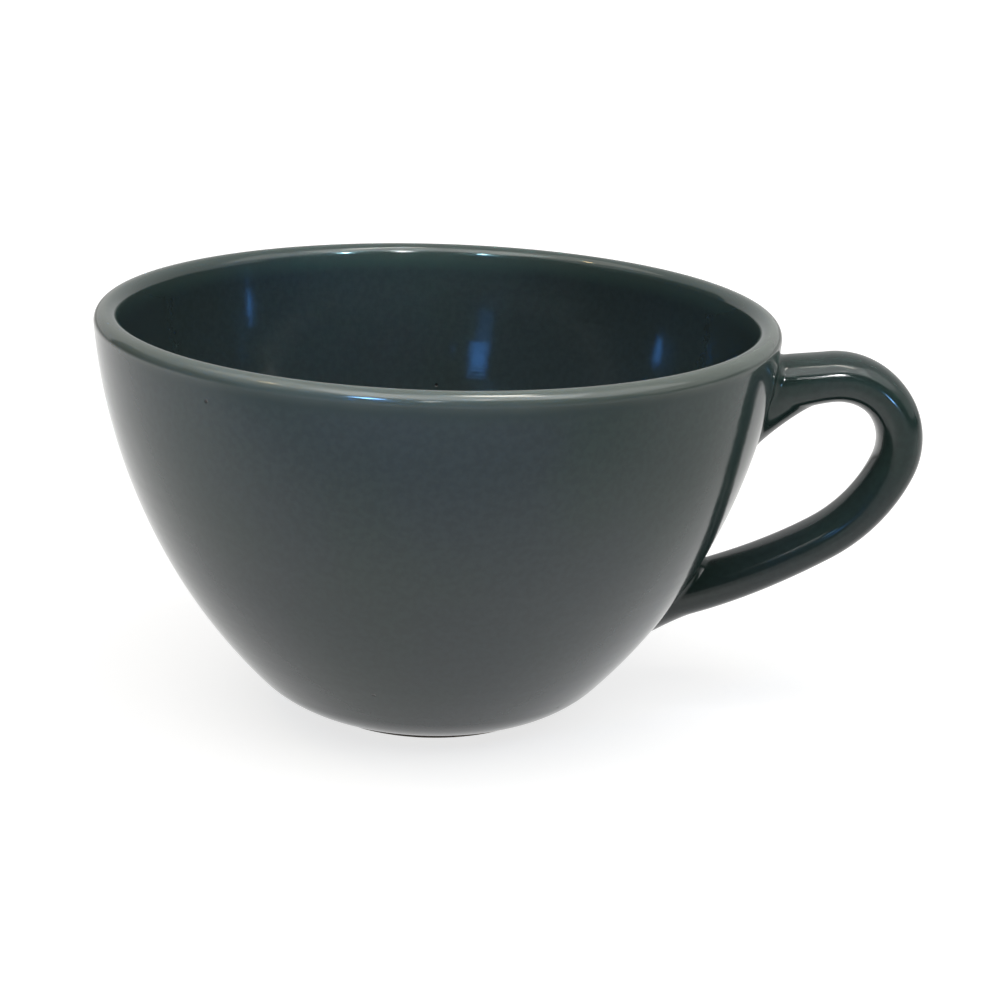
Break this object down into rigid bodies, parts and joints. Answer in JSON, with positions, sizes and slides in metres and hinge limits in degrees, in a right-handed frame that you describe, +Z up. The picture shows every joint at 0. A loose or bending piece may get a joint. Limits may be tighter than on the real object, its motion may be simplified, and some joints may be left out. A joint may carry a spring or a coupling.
{
  "type": "cappuccino cup",
  "caption": "Glazed stoneware cappuccino cup: a wide round bowl that tapers to a low bare foot ring, with a looped handle on its side for a finger; it holds a milky coffee.",
  "frame": {"origin": "on the bowl's axis, in the plane that the foot ring stands on, at the middle of the ring", "axes": "+Z up along the bowl's axis, +X out along the handle, +Y across the handle's plane"},
  "size_m": [0.1406, 0.115, 0.0695],
  "materials": {
    "stoneware": "bare fired stoneware, matt, with fine dark specks",
    "slip": "fired slip, matt and a little paler than the clay",
    "inside_glaze": "gloss glaze, almost black, with a cool cast",
    "outside_glaze": "gloss charcoal glaze with a faint green cast and fine pinholes"
  },
  "bodies": {
    "root": {"cup_body": "stoneware", "handle": "stoneware", "upper_lute": "slip", "lower_lute": "slip", "inner_glaze": "inside_glaze", "outer_glaze": "outside_glaze", "handle_glaze": "outside_glaze", "base_glaze": "outside_glaze"}
  },
  "joints": []
}
